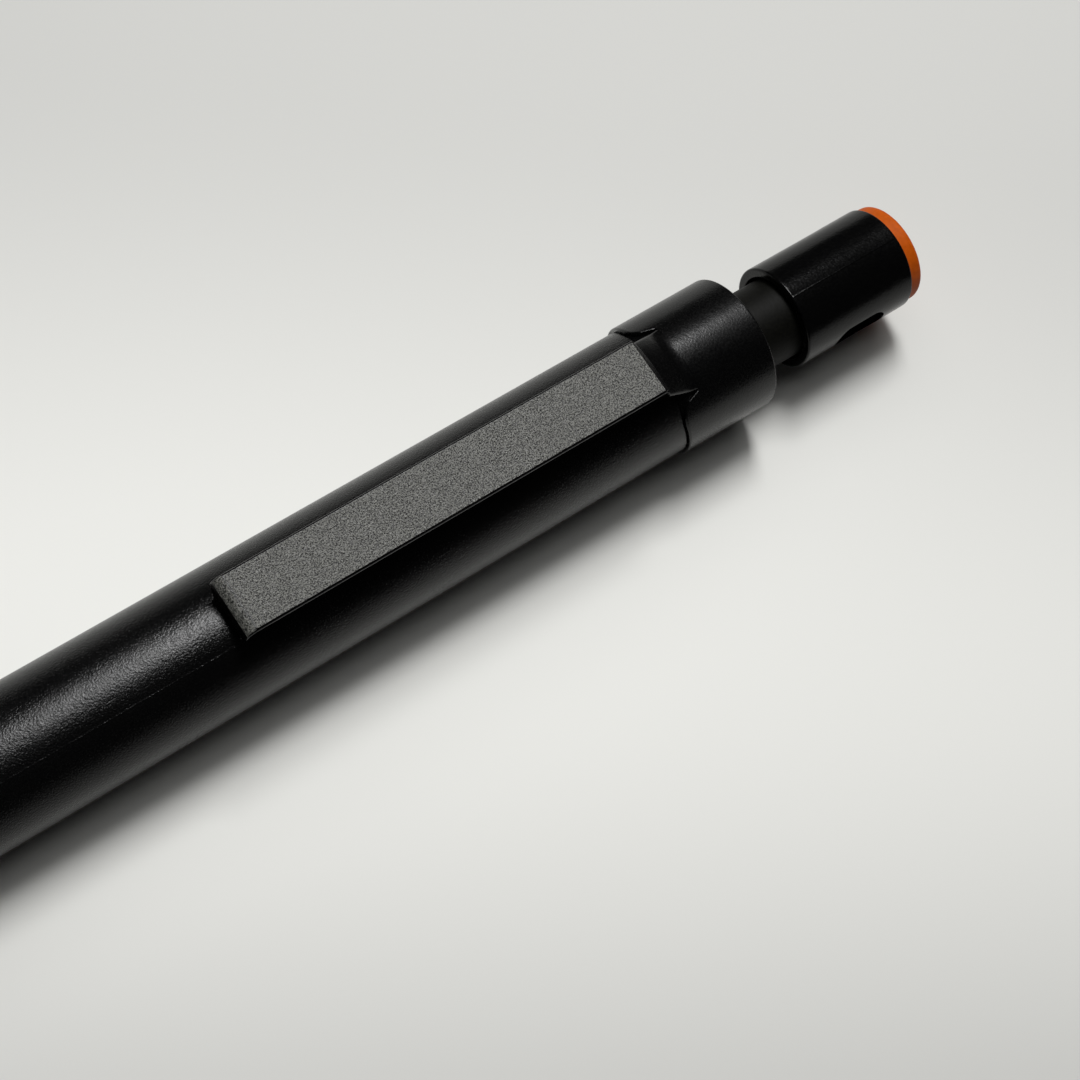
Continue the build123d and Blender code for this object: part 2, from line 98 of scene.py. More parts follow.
# --- shape of the visible pieces ---
COLUMNS = 240              # faces round a turned piece
SUPPORT = 0.06             # extra ring beside an edge, which keeps the long faces flat in shading
EDGE_BREAK = 0.06          # smallest moulded edge round
SEAM_GAP = 0.09            # barrel to collar
SEAM_BOW = 0.5             # how far back the seam lies at the sides
SEAM_SKIN = 3.85           # only what lies outside this radius follows the bow
PARTING_WIDTH = 0.07
PARTING_HEIGHT = 0.026
BARREL_PARTING = -22.4     # azimuth of one mould line; the other is opposite
BUTTON_PARTING = -3.6
SHARP_ANGLE = 35           # two faces that meet at more than this many degrees have a sharp edge
GRIP_SEAT_RADIUS = BARREL_RADIUS - 0.55
PLUG_RADIUS = 1.5          # the disc's plug and the hole for it in the button
SHANK_START = X_CONE + 1.4   # the lead sleeve's shank in the cone
SHANK_NECK_RADIUS, SHANK_RADIUS = 0.8, 0.95
NOTCH_DEPTH = X_NOTCH_END - X_SEAM
NOTCH_FLOOR = 4.4
NOTCH_FLANK = ((0.0, 3.6), (0.25, 3.1), (0.6, 2.78), (NOTCH_DEPTH, 2.46))   # (behind the seam, half width)


# ---------------------------------------------------------------- meshes

def between(pairs, x):
    """A value on a line through (x, value) pairs, held level beyond both ends."""
    if x <= pairs[0][0]:
        return pairs[0][1]
    for (x_low, low), (x_high, high) in zip(pairs, pairs[1:]):
        if x <= x_high:
            return low + (high - low) * (x - x_low) / (x_high - x_low)
    return pairs[-1][1]


def spread(start, end, steps):
    """Values at even steps from start to end, both included."""
    return [start + (end - start) * step / steps for step in range(steps + 1)]


def rounded(corners, steps=6):
    """The points of a closed outline of (x, radius, fillet) corners, with each fillet as an arc."""
    points = []
    for index, (x, radius, fillet) in enumerate(corners):
        corner = Vector((x, radius))
        if not fillet:
            points.append(corner)
            continue
        before = (Vector(corners[index - 1][:2]) - corner).normalized()
        after = (Vector(corners[(index + 1) % len(corners)][:2]) - corner).normalized()
        half = before.angle(after) / 2
        centre = corner + (before + after).normalized() * fillet / math.sin(half)
        start = (corner + before * fillet / math.tan(half) - centre).normalized()
        end = (corner + after * fillet / math.tan(half) - centre).normalized()
        points += [centre + fillet * start.slerp(end, step / steps) for step in range(steps + 1)]
    return points


def supported(points):
    """The closed outline with a point close to both ends of each long run."""
    found = []
    for point, following in zip(points, points[1:] + points[:1]):
        found.append(point)
        run = following - point
        if run.length > 4 * SUPPORT:
            found.append(point + run.normalized() * SUPPORT)
            found.append(following - run.normalized() * SUPPORT)
    return found


def azimuths(count=COLUMNS, lines=(), radius=BARREL_RADIUS):
    """Even azimuths, with three close together across each parting line."""
    half = math.degrees(PARTING_WIDTH / 2 / radius)
    found = [360 * step / count for step in range(count)]
    for line in lines:
        found = [each for each in found if abs((each - line + 180) % 360 - 180) > 1.5 * half]
        found += [(line + offset) % 360 for offset in (-half, 0, half)]
    return sorted(found)


def parting(lines, x_start, x_end, lowest):
    """A shape for turned(): fine mould lines that stand up along the outer surface."""
    def shape(x, radius, azimuth):
        on_line = any(abs((azimuth - line + 180) % 360 - 180) < 0.01 for line in lines)
        outside = radius > lowest and x_start < x < x_end
        return radius + PARTING_HEIGHT if on_line and outside else radius
    return shape


def piece(name, mesh, material, body, node):
    """Finishes a bmesh as an object that stands for a CAD node, and rides on a body if one is named."""
    bmesh.ops.recalc_face_normals(mesh, faces=mesh.faces[:])
    data = bpy.data.meshes.new(name)
    mesh.to_mesh(data)
    mesh.free()
    data.materials.append(material)
    data.shade_smooth()
    data.set_sharp_from_angle(angle=math.radians(SHARP_ANGLE))
    found = bpy.data.objects.new(name, data)
    bpy.context.scene.collection.objects.link(found)
    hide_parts(node)
    if body:
        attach(found, body)
    return found


def bridge(mesh, ring, following):
    """Faces between two rings, either of which may be a single vertex on the axis."""
    count = max(len(ring), len(following))
    for step in range(count):
        after = (step + 1) % count
        corners = [ring[step % len(ring)], ring[after % len(ring)]]
        corners += [following[after % len(following)], following[step % len(following)]]
        face = list(dict.fromkeys(corners))
        if len(face) > 2:
            mesh.faces.new(face)


def turned(corners, columns=None, shape=None, steps=6):
    """A closed bmesh turned about X. shape(x, radius, azimuth) may give a new radius."""
    mesh = bmesh.new()
    rings = []
    for point in supported(rounded(corners, steps)):
        if point.y < SUPPORT / 10:
            rings.append([mesh.verts.new((point.x * MM, 0, 0))])
            continue
        ring = []
        for azimuth in columns or azimuths():
            radius = shape(point.x, point.y, azimuth) if shape else point.y
            turn = math.radians(azimuth)
            place = Vector((point.x, radius * math.sin(turn), radius * math.cos(turn)))
            ring.append(mesh.verts.new(place * MM))
        rings.append(ring)
    for ring, following in zip(rings, rings[1:] + rings[:1]):
        if len(ring) + len(following) > 2:
            bridge(mesh, ring, following)
    return mesh


def lofted(sections):
    """A closed bmesh through equal rings of points, with flat ends."""
    mesh = bmesh.new()
    rings = [[mesh.verts.new(Vector(point) * MM) for point in section] for section in sections]
    for ring, following in zip(rings, rings[1:]):
        bridge(mesh, ring, following)
    mesh.faces.new(rings[0])
    mesh.faces.new(rings[-1])
    return mesh


def bend_seam(mesh):
    """Bows the seam of barrel and collar back at the sides, as if it were cut to a shallow curve."""
    near_seam = ((X_SEAM - 1, 0), (X_SEAM - SEAM_GAP, 1), (X_SEAM, 1), (X_SEAM + 1, 0))
    at_the_sides = ((55, 0), (80, 0.7), (100, 1))     # (degrees from the clip's side, share of the bow)
    for vert in mesh.verts:
        x, y, z = vert.co / MM
        side = abs(math.degrees(math.atan2(y, z)))
        near = between(near_seam, x)
        if math.hypot(y, z) > SEAM_SKIN:
            vert.co.x += SEAM_BOW * near * between(at_the_sides, side) * MM


def weld(data):
    """Joins the corners of a cut that lie within a micrometre of each other, which leaves no slivers."""
    mesh = bmesh.new()
    mesh.from_mesh(data)
    bmesh.ops.remove_doubles(mesh, verts=mesh.verts[:], dist=0.001 * MM)
    mesh.to_mesh(data)
    mesh.free()


def applied(found):
    """The object's mesh with its modifiers applied, which are then removed."""
    evaluated = found.evaluated_get(bpy.context.evaluated_depsgraph_get())
    data = bpy.data.meshes.new_from_object(evaluated)
    found.modifiers.clear()
    return data


# ---------------------------------------------------------------- materials

HANDLING_SCALE = 160.0     # every scale is in features per metre, every depth in millimetres
POLISH = 0.03              # how much handling changes the roughness
GRAIN_POLISH = 0.04        # how much the grain changes it
WAVE_SCALE, WAVE_DEPTH = 90.0, 0.004
RIPPLE_SCALE, RIPPLE_DEPTH = 1300.0, 0.006
SCRATCH_SCALE, SCRATCH_DEPTH = 9000.0, 0.002
SCRATCH_POLISH = 0.08
WORN_SHADE = 0.8           # the colour in a scratch, as a share of the metal's
ALONG = (0.04, 1, 1)       # scratches along the axis
AROUND = (1, 0.06, 0.06)   # turning marks
BLACK = (0.0008, 0.0008, 0.0009)
BLACK_SPECK = (0.0016, 0.0016, 0.0016)


def new_material(name):
    """A node material: its tree and its shader."""
    found = bpy.data.materials.new(name)
    found.use_nodes = True
    return found, found.node_tree, found.node_tree.nodes["Principled BSDF"]


def noise(tree, scale, detail=2.0, stretch=(1, 1, 1)):
    """Noise on the piece's own coordinates, in features per metre."""
    place = tree.nodes.new("ShaderNodeTexCoord")
    mapping = tree.nodes.new("ShaderNodeMapping")
    mapping.inputs["Scale"].default_value = stretch
    found = tree.nodes.new("ShaderNodeTexNoise")
    found.inputs["Scale"].default_value = scale
    found.inputs["Detail"].default_value = detail
    tree.links.new(place.outputs["Object"], mapping.inputs["Vector"])
    tree.links.new(mapping.outputs["Vector"], found.inputs["Vector"])
    return found.outputs["Fac"]


def remap(tree, value, low, high, start=0.3, end=0.7, easing="LINEAR"):
    """A value between start and end brought into the range from low to high."""
    found = tree.nodes.new("ShaderNodeMapRange")
    found.interpolation_type = easing
    for key, number in (("From Min", start), ("From Max", end), ("To Min", low), ("To Max", high)):
        found.inputs[key].default_value = number
    tree.links.new(value, found.inputs["Value"])
    return found.outputs["Result"]


def combined(tree, operation, first, second):
    """Two values joined by one math operation."""
    found = tree.nodes.new("ShaderNodeMath")
    found.operation = operation
    tree.links.new(first, found.inputs[0])
    tree.links.new(second, found.inputs[1])
    return found.outputs["Value"]


def tinted(tree, value, first, second):
    """A colour between two, by a value from 0 to 1."""
    found = tree.nodes.new("ShaderNodeMix")
    found.data_type = "RGBA"
    found.inputs["A"].default_value = (*first, 1)
    found.inputs["B"].default_value = (*second, 1)
    tree.links.new(value, found.inputs["Factor"])
    return found.outputs["Result"]


def bumped(tree, shader, layers):
    """Stacks bump layers of (height value, depth in millimetres) on the shader's normal."""
    normal = None
    for value, depth in layers:
        found = tree.nodes.new("ShaderNodeBump")
        found.inputs["Distance"].default_value = depth * MM
        tree.links.new(value, found.inputs["Height"])
        if normal:
            tree.links.new(normal, found.inputs["Normal"])
        normal = found.outputs["Normal"]
    tree.links.new(normal, shader.inputs["Normal"])


def moulded(name, dark, light, roughness, grain, depth, spread=0.2, ior=1.33):
    """Moulded plastic: a fine grain, patches that handling has polished, and shallow waves and ripples.

    A small spread makes a crisp grain with little between its dark and its light.
    """
    found, tree, shader = new_material(name)
    speck = noise(tree, grain)
    patch = noise(tree, HANDLING_SCALE, 4.0)
    share = remap(tree, speck, 0, 1, 0.5 - spread, 0.5 + spread)
    tree.links.new(tinted(tree, share, dark, light), shader.inputs["Base Color"])
    speckled = remap(tree, speck, roughness - GRAIN_POLISH, roughness + GRAIN_POLISH)
    polished = remap(tree, patch, -POLISH, POLISH)
    tree.links.new(combined(tree, "ADD", speckled, polished), shader.inputs["Roughness"])
    shader.inputs["IOR"].default_value = ior
    ripple = noise(tree, RIPPLE_SCALE)
    bumped(tree, shader, [(noise(tree, WAVE_SCALE), WAVE_DEPTH), (ripple, RIPPLE_DEPTH), (speck, depth)])
    return found


def metal(name, colour, roughness, stretch):
    """Drawn or turned metal, with fine scratches along one direction."""
    found, tree, shader = new_material(name)
    scratches = noise(tree, SCRATCH_SCALE, 3.0, stretch)
    worn = [channel * WORN_SHADE for channel in colour]
    tree.links.new(tinted(tree, remap(tree, scratches, 0, 1), worn, colour), shader.inputs["Base Color"])
    polished = remap(tree, scratches, roughness - SCRATCH_POLISH, roughness + SCRATCH_POLISH)
    tree.links.new(polished, shader.inputs["Roughness"])
    shader.inputs["Metallic"].default_value = 1.0
    bumped(tree, shader, [(scratches, SCRATCH_DEPTH)])
    return found


# name, colour of the grain's dark and light parts, roughness, grain scale and grain depth
BARREL_PLASTIC = moulded("barrel_plastic", BLACK, (0.0018, 0.0018, 0.0018), 0.24, 9500, 0.028)
SATIN_PLASTIC = moulded("satin_plastic", BLACK, BLACK_SPECK, 0.27, 7000, 0.008)
# The clip's light speckle is partly real grain and partly a painted highlight: it is far paler than the black
# of the other pieces, standing in for the lamp's sheen on the clip's back.
CLIP_GRAIN_AND_SHEEN_PLASTIC = moulded(
    "clip_plastic", (0.0010, 0.0010, 0.0009), (0.1300, 0.1300, 0.1170), 0.34, 10500, 0.07,
    spread=0.1, ior=1.45,
)
CLIP_SIDE_PLASTIC = moulded("clip_side_plastic", BLACK, BLACK_SPECK, 0.25, 7000, 0.008)
CONE_PLASTIC = moulded("cone_plastic", (0.0010, 0.0010, 0.0011), (0.0020, 0.0020, 0.0020), 0.26, 4500, 0.008)
BUTTON_PLASTIC = moulded("button_plastic", BLACK, BLACK_SPECK, 0.20, 7000, 0.010, ior=1.25)
NECK_PLASTIC = moulded(
    "neck_plastic", (0.0012, 0.0012, 0.0009), (0.0026, 0.0026, 0.0018), 0.56, 5000, 0.008, ior=1.2,
)
ORANGE_PLASTIC = moulded(
    "orange_plastic", (0.34, 0.056, 0.001), (0.40, 0.068, 0.002), 0.50, 3200, 0.005, ior=1.2,
)
INNER_PLASTIC = moulded("inner_plastic", (0.26, 0.27, 0.28), (0.32, 0.33, 0.34), 0.45, 2600, 0.005)
RESERVOIR_PLASTIC = moulded("reservoir_plastic", (0.50, 0.51, 0.50), (0.58, 0.59, 0.58), 0.30, 1800, 0.003)
GRIP_RUBBER = moulded("grip_rubber", (0.0040, 0.0040, 0.0040), (0.0080, 0.0080, 0.0080), 0.55, 4600, 0.012)
SEAL_RUBBER = moulded("seal_rubber", (0.02, 0.02, 0.02), (0.04, 0.04, 0.04), 0.65, 4600, 0.012)
ERASER_VINYL = moulded("eraser_vinyl", (0.78, 0.78, 0.76), (0.88, 0.88, 0.86), 0.62, 2600, 0.012)
GRAPHITE = moulded("graphite", (0.035, 0.035, 0.040), (0.065, 0.065, 0.070), 0.38, 6000, 0.006)
SLEEVE_STEEL = metal("sleeve_steel", (0.62, 0.62, 0.63), 0.25, AROUND)
FERRULE_STEEL = metal("ferrule_steel", (0.62, 0.62, 0.63), 0.30, ALONG)
SPRING_STEEL = metal("spring_steel", (0.50, 0.50, 0.51), 0.30, ALONG)
CHUCK_BRASS = metal("chuck_brass", (0.72, 0.52, 0.24), 0.28, AROUND)


# ---------------------------------------------------------------- turned pieces

def barrel():
    """The barrel tube, with two mould lines, a seat for the grip and eased ends."""
    lines = (BARREL_PARTING, BARREL_PARTING + 180)
    front_bore, bore, rear_bore = 3.4, 3.0, 3.9
    front_bore_end, rear_bore_start = X_STUB_END + 1.05, X_SPIGOT - 0.2
    rear = X_SEAM - SEAM_GAP
    mesh = turned(
        [
            (X_BARREL, front_bore, 0), (front_bore_end, front_bore, 0), (front_bore_end, bore, 0),
            (rear_bore_start, bore, 0), (rear_bore_start, rear_bore, 0), (rear, rear_bore, 0),
            (rear, BARREL_RADIUS, 0.05), (X_GRIP_END, BARREL_RADIUS, 0.12),
            (X_GRIP_END, GRIP_SEAT_RADIUS, 0), (X_GRIP, GRIP_SEAT_RADIUS, 0), (X_GRIP, BARREL_RADIUS, 0.12),
            (X_BARREL, CONE_BASE_RADIUS, 0.08),
        ],
        azimuths(lines=lines), parting(lines, X_GRIP_END + 0.2, rear - 0.1, BARREL_RADIUS - 0.01),
    )
    bend_seam(mesh)
    return piece("barrel", mesh, BARREL_PLASTIC, "barrel", "barrel_tube")


def grip():
    """The rubber sleeve: rounded ribs between 14 ring grooves."""
    grooves, width, depth = 14, 0.7, 0.3
    end_round, rib_round, groove_round = 0.15, 0.14, 0.12
    floor = BARREL_RADIUS - depth
    pitch = (X_GRIP_END - X_GRIP) / (grooves + 1)
    outline = [(X_GRIP, GRIP_SEAT_RADIUS, 0), (X_GRIP, BARREL_RADIUS, end_round)]
    for number in range(grooves):
        middle = X_GRIP + pitch * (number + 1)
        outline += [
            (middle - width / 2, BARREL_RADIUS, rib_round), (middle - width / 2, floor, groove_round),
            (middle + width / 2, floor, groove_round), (middle + width / 2, BARREL_RADIUS, rib_round),
        ]
    outline += [(X_GRIP_END, BARREL_RADIUS, end_round), (X_GRIP_END, GRIP_SEAT_RADIUS, 0)]
    mesh = turned(outline, azimuths(144), steps=4)
    return piece("grip", mesh, GRIP_RUBBER, "barrel", "grip_sleeve")


def cone():
    """The nose cone, whose stub has a thread cut into it behind a short relief."""
    tip, nose_end, band = 1.15, X_CONE + 0.9, X_BARREL - 0.9
    stub, thread_depth, pitch = 3.35, 0.25, 0.75
    retainer, jaw_room, ring_room = 1.1, 1.79, 2.08
    x_retainer, x_jaws, x_ring = X_CONE + 3.0, X_CONE + 4.6, X_BARREL - 2.15
    outline = [
        (X_CONE, SHANK_NECK_RADIUS, 0), (SHANK_START, SHANK_NECK_RADIUS, 0), (SHANK_START, SHANK_RADIUS, 0),
        (x_retainer, SHANK_RADIUS, 0), (x_retainer, retainer, 0), (x_jaws, retainer, 0),
        (x_jaws, jaw_room, 0), (x_ring, jaw_room, 0), (x_ring, ring_room, 0), (X_STUB_END, ring_room, 0),
        (X_STUB_END, stub, 0.2),
    ]
    thread_start, thread_end, rows = X_STUB_END - 0.3, X_BARREL + 0.6, 90
    outline += [(x, stub, 0) for x in spread(thread_start, thread_end, rows)]
    outline += [
        (X_BARREL, stub, 0), (X_BARREL, CONE_BASE_RADIUS, EDGE_BREAK), (band, CONE_BASE_RADIUS, EDGE_BREAK),
        (band, CONE_BASE_RADIUS - 0.15, 0.05), (nose_end, tip, 0.6), (X_CONE, tip, 0.25),
    ]

    def thread(x, radius, azimuth):
        """A shape for turned(): a round groove that winds along the stub and runs out at both ends."""
        if abs(radius - stub) > 0.01 or not thread_end <= x <= thread_start:
            return radius
        fade = min(1, (thread_start - x) / pitch, (x - thread_end) / pitch)
        wave = (1 + math.cos(2 * math.pi * (x / pitch - azimuth / 360))) / 2
        return radius - thread_depth * fade * wave

    mesh = turned(outline, azimuths(120), thread)
    return piece("cone", mesh, CONE_PLASTIC, "cone", "front_cone")


def sleeve():
    """The steel lead sleeve, rounded at its mouth, with the shank that the cone holds."""
    radius, bore = 0.5, 0.28
    x_end = span("lead_sleeve")[1].x
    mesh = turned(
        [
            (0, bore, 0.05), (x_end, bore, 0), (x_end, SHANK_RADIUS, 0), (SHANK_START, SHANK_RADIUS, 0),
            (SHANK_START, SHANK_NECK_RADIUS, 0), (X_CONE, SHANK_NECK_RADIUS, 0), (X_CONE, radius, 0),
            (0, radius, 0.12),
        ],
        azimuths(64),
    )
    return piece("sleeve", mesh, SLEEVE_STEEL, "cone_carriage", "lead_sleeve")


def neck():
    """The rear holder, seen as the slim neck between collar and button."""
    tube_seat, web_hole, ferrule_seat = 2.0, 1.45, 2.3
    x_web, end_round = X_HOLDER + 8, 0.1
    x_seat = x_web + 2
    mesh = turned([
        (X_HOLDER, tube_seat, 0), (x_web, tube_seat, 0), (x_web, web_hole, 0), (x_seat, web_hole, 0),
        (x_seat, ferrule_seat, 0), (X_HOLDER_END, ferrule_seat, 0), (X_HOLDER_END, HOLDER_RADIUS, end_round),
        (X_HOLDER, HOLDER_RADIUS, end_round),
    ])
    return piece("neck", mesh, NECK_PLASTIC, "mechanism", "rear_holder")


def disc():
    """The orange end disc: a dished face with an eased rim, on the plug that the button holds."""
    dish_radius, dish_depth = 2.7, 0.08
    mesh = turned([
        (X_BUTTON_FLOOR, 0, 0), (X_END - dish_depth, 0, 0), (X_END - dish_depth, dish_radius - 0.3, 0.3),
        (X_END, dish_radius, 0.2), (X_END, DISC_RADIUS, 0.3), (X_DISC, DISC_RADIUS, 0.05),
        (X_DISC, PLUG_RADIUS, 0), (X_BUTTON_FLOOR, PLUG_RADIUS, 0.1),
    ])
    return piece("disc", mesh, ORANGE_PLASTIC, "cap", "end_disc")


def eraser_block():
    """The eraser, with its rear edge rubbed round."""
    low, high = span("eraser")
    mesh = turned([(low.x, 0, 0), (high.x, 0, 0), (high.x, high.z, 0.35), (low.x, high.z, 0)], azimuths(96))
    return piece("eraser_block", mesh, ERASER_VINYL, "eraser_plug", "eraser")


def slot_cutter():
    """A bar with round ends, across the button, that cuts both side slots."""
    slot_length, end_radius, slot_start = 4.25, 1.15, X_BUTTON + 2.74
    end_steps = 16
    section = []
    for side, centre in ((1, slot_start + slot_length - end_radius), (-1, slot_start + end_radius)):
        for step in range(end_steps + 1):
            turn = math.radians(-90 + 180 * step / end_steps)
            section.append((centre + side * end_radius * math.cos(turn), side * end_radius * math.sin(turn)))
    reach = 2 * BUTTON_RADIUS
    mesh = lofted([[(x, y, z) for x, z in section] for y in (-reach, reach)])
    bmesh.ops.recalc_face_normals(mesh, faces=mesh.faces[:])
    data = bpy.data.meshes.new("slot_cutter")
    mesh.to_mesh(data)
    mesh.free()
    found = bpy.data.objects.new("slot_cutter", data)
    bpy.context.scene.collection.objects.link(found)
    return found


def button():
    """The push button: a rounded front lip, two side slots and a mould line on each side."""
    lines = (BUTTON_PARTING, BUTTON_PARTING + 180)
    bore, lip_round, rear_round = 3.05, 0.15, 0.1
    mesh = turned(
        [
            (X_BUTTON, bore, 0.1), (X_BUTTON_FLOOR, bore, 0), (X_BUTTON_FLOOR, PLUG_RADIUS, 0),
            (X_DISC, PLUG_RADIUS, 0), (X_DISC, BUTTON_RADIUS, rear_round),
            (X_BUTTON, BUTTON_RADIUS, lip_round),
        ],
        azimuths(lines=lines, radius=BUTTON_RADIUS),
        parting(lines, X_BUTTON + lip_round, X_DISC - rear_round, BUTTON_RADIUS - 0.01),
    )
    found = piece("button", mesh, BUTTON_PLASTIC, None, "push_button")

    cutter = slot_cutter()
    cut = found.modifiers.new("slots", "BOOLEAN")
    cut.operation = "DIFFERENCE"
    cut.solver = "EXACT"
    cut.object = cutter
    found.data = applied(found)
    weld(found.data)
    found.data.set_sharp_from_angle(angle=math.radians(SHARP_ANGLE))
    bpy.data.objects.remove(cutter)
    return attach(found, "cap")


# ---------------------------------------------------------------- collar and clip

def collar():
    """The clip collar. Its mesh lines follow the edge of the notch round the clip's root."""
    chamfer, chamfer_length, rear_round, bore, spigot = 0.08, 0.15, 0.14, 2.93, 3.88
    flank_round, rear_gap = 0.08, 0.015
    inside, flank_steps, outside = 40, 5, 110

    def columns(back):
        """(azimuth, depth below the surface) round one ring that lies so far behind the seam.

        The depth is None on the notch's floor.
        """
        half_width = between(NOTCH_FLANK, back)
        edge = math.degrees(math.asin(half_width / COLLAR_RADIUS))
        found = [(edge * (2 * step / inside - 1), None) for step in range(inside + 1)]
        for step in range(1, flank_steps + 1):
            share = step / flank_steps
            away = math.degrees(flank_round * share / COLLAR_RADIUS)
            found.append((edge + away, flank_round * (1 - math.sqrt(1 - (1 - share) ** 2))))
        flank = found[inside + 1:]
        start = found[-1][0]
        found += [(azimuth, 0) for azimuth in spread(start, 360 - start, outside)[1:-1]]
        found += [(-azimuth, depth) for azimuth, depth in reversed(flank)]
        return found

    mesh = bmesh.new()

    def ring(x, radius, notched=False, back=NOTCH_DEPTH):
        """A ring at x, with the notch cut into it or only its mesh lines."""
        found = []
        for azimuth, depth in columns(back):
            if notched:
                here = NOTCH_FLOOR if depth is None else radius - depth
            else:
                here = radius
            turn = math.radians(azimuth)
            found.append(mesh.verts.new(Vector((x, here * math.sin(turn), here * math.cos(turn))) * MM))
        return found

    def front_radius(back):
        """The collar's radius so far behind the seam, where its mouth is eased."""
        return COLLAR_RADIUS - chamfer * max(0, 1 - back / chamfer_length) ** 1.5

    rings = [ring(X_SPIGOT, spigot, back=0), ring(X_SEAM, spigot, back=0)]
    rows = 32
    for row in range(rows + 1):
        back = NOTCH_DEPTH * row / rows
        rings.append(ring(X_SEAM + back, front_radius(back), True, back))
    rings.append(ring(X_NOTCH_END + rear_gap, COLLAR_RADIUS))
    rear = rounded(
        [
            (X_NOTCH_END + 0.1, COLLAR_RADIUS, 0), (X_COLLAR_END, COLLAR_RADIUS, rear_round),
            (X_COLLAR_END, bore, 0.1), (X_SPIGOT, bore, 0),
        ], 10,
    )
    rings += [ring(point.x, point.y) for point in supported(rear)[:-2]]   # without the closing run's support
    for first, following in zip(rings, rings[1:] + rings[:1]):
        bridge(mesh, first, following)
    bend_seam(mesh)
    return piece("collar", mesh, SATIN_PLASTIC, "barrel", "clip_collar")


def clip():
    """The clip: a flat bar with a foot, a fine lip along its lower edges and a root in the collar's notch."""
    thickness, half_width, root_half_width = 0.9, 2.03, CLIP_ROOT_HALF_WIDTH - 0.2
    tip_round, foot_length, foot_round, edge_round = 0.8, 1.5, 0.5, 0.17
    flat_end, root_reach = X_SEAM - 1.43, X_SEAM - 3.5
    step_length, step_height, slope_end, slope_round = 0.5, 0.68, X_SEAM + 1.05, 2.2
    lip, lip_height = 0.06, 0.1
    side_tuck, foot_tuck, root_tuck = 0.3, 0.2, 0.4
    sheen_grain_on_flat, sheen_grain_on_tip = 0.97, 0.45     # least upward lean of a face with the coarse grain and its painted sheen
    foot_end, foot_bottom = X_CLIP_TIP + foot_length, BARREL_RADIUS + 0.03
    underside = CLIP_TOP - thickness
    barrel_clear = BARREL_RADIUS + 0.15            # the underside stays outside this radius near the root
    across = [math.sin(math.radians(-90 + 180 * step / 40)) for step in range(41)]

    step_foot = CLIP_TOP - step_height
    spine = rounded(
        [
            (X_CLIP_TIP, CLIP_TOP - tip_round, 0), (X_CLIP_TIP, CLIP_TOP, tip_round - 0.001),
            (flat_end, CLIP_TOP, 0.15), (flat_end + step_length, step_foot, 0.3),
            (slope_end, COLLAR_RADIUS, slope_round), (X_COLLAR_END, COLLAR_RADIUS, 0),
        ], 12,
    )

    def top(x):
        """Height of the clip's back: a round tip, the flat, a crisp rear edge and a hollow slope."""
        return between([tuple(point) for point in spine[1:]], x)

    def bottom(x):
        """Height of the clip's underside, which sinks into the collar's notch at the root."""
        if x <= foot_end:
            return foot_bottom
        if x < foot_end + foot_round:
            short = foot_round - (x - foot_end)
            return underside - foot_round + math.sqrt(foot_round ** 2 - short ** 2)
        return between(((root_reach, underside), (X_SEAM, barrel_clear - 1.0)), x)

    def width(x):
        """Half the clip's width, which grows towards the root."""
        return between(((flat_end, half_width), (X_NOTCH_END, root_half_width)), x)

    def tuck(x):
        """How far the side leans in towards its foot."""
        tip = between(((foot_end, foot_tuck), (foot_end + foot_round, 0)), x)
        return side_tuck + tip + between(((root_reach, 0), (flat_end + 0.4, root_tuck)), x)

    def section(x):
        """A ring of points: the back from -Y to +Y, the side, the underside and the other side."""
        half, height, under = width(x), top(x), bottom(x)
        rounding = between(((flat_end, 0), (flat_end + step_length, 0.7), (slope_end, 1)), x)
        ring = []
        for share in across:
            y = share * half
            over = max(0, abs(y) - (half - edge_round))
            fall = edge_round - math.sqrt(max(0, edge_round ** 2 - over ** 2))
            sag = rounding * (COLLAR_RADIUS - math.sqrt(COLLAR_RADIUS ** 2 - y ** 2))
            ring.append((x, y, max(height - sag - fall, under + 0.02)))
        shoulder = ring[-1][2]
        foot = max(under, math.sqrt(barrel_clear ** 2 - half ** 2) if x > root_reach else under)
        foot = min(foot, shoulder - 0.01)
        lip_top = foot + min(lip_height, (shoulder - foot) / 2)
        inner = half - tuck(x)
        side = [
            (inner, lip_top + lip), (inner + lip * 0.7, lip_top),
            (inner + lip, lip_top - 0.03), (inner, foot),
        ]
        ring += [(x, y, z) for y, z in side]
        for share in reversed(across[1:-1]):
            y = share * inner
            curve = math.sqrt(barrel_clear ** 2 - y ** 2) if x > root_reach else under
            ring.append((x, y, min(max(under, curve), shoulder)))
        ring += [(x, -y, z) for y, z in reversed(side)]
        return ring

    arm_start, arm_end = foot_end + foot_round + 0.1, root_reach - 0.1
    stations = [X_CLIP_TIP + tip_round * (1 - math.cos(math.radians(9 * step))) for step in range(1, 11)]
    stations += [foot_end - 0.8, foot_end - 0.1]
    stations += spread(foot_end, foot_end + foot_round, 6)
    stations += spread(arm_start, arm_end, 12)
    stations += spread(root_reach, X_NOTCH_END, 100)
    mesh = lofted([section(x) for x in stations])
    found = piece("clip", mesh, CLIP_GRAIN_AND_SHEEN_PLASTIC, None, "clip_arm")
    found.data.materials.append(CLIP_SIDE_PLASTIC)
    # Faces that lean upward get the coarse grain with its painted sheen, so the clip's lit back is paler than
    # its sides.
    for face in found.data.polygons:
        on_tip = face.center.x < (X_CLIP_TIP + tip_round) * MM and abs(face.normal.y) < 0.3
        least = sheen_grain_on_tip if on_tip else sheen_grain_on_flat
        grain_and_sheen = face.center.x < flat_end * MM and face.normal.z > least
        face.material_index = 0 if grain_and_sheen else 1
    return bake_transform(found)


# ---------------------------------------------------------------- spring

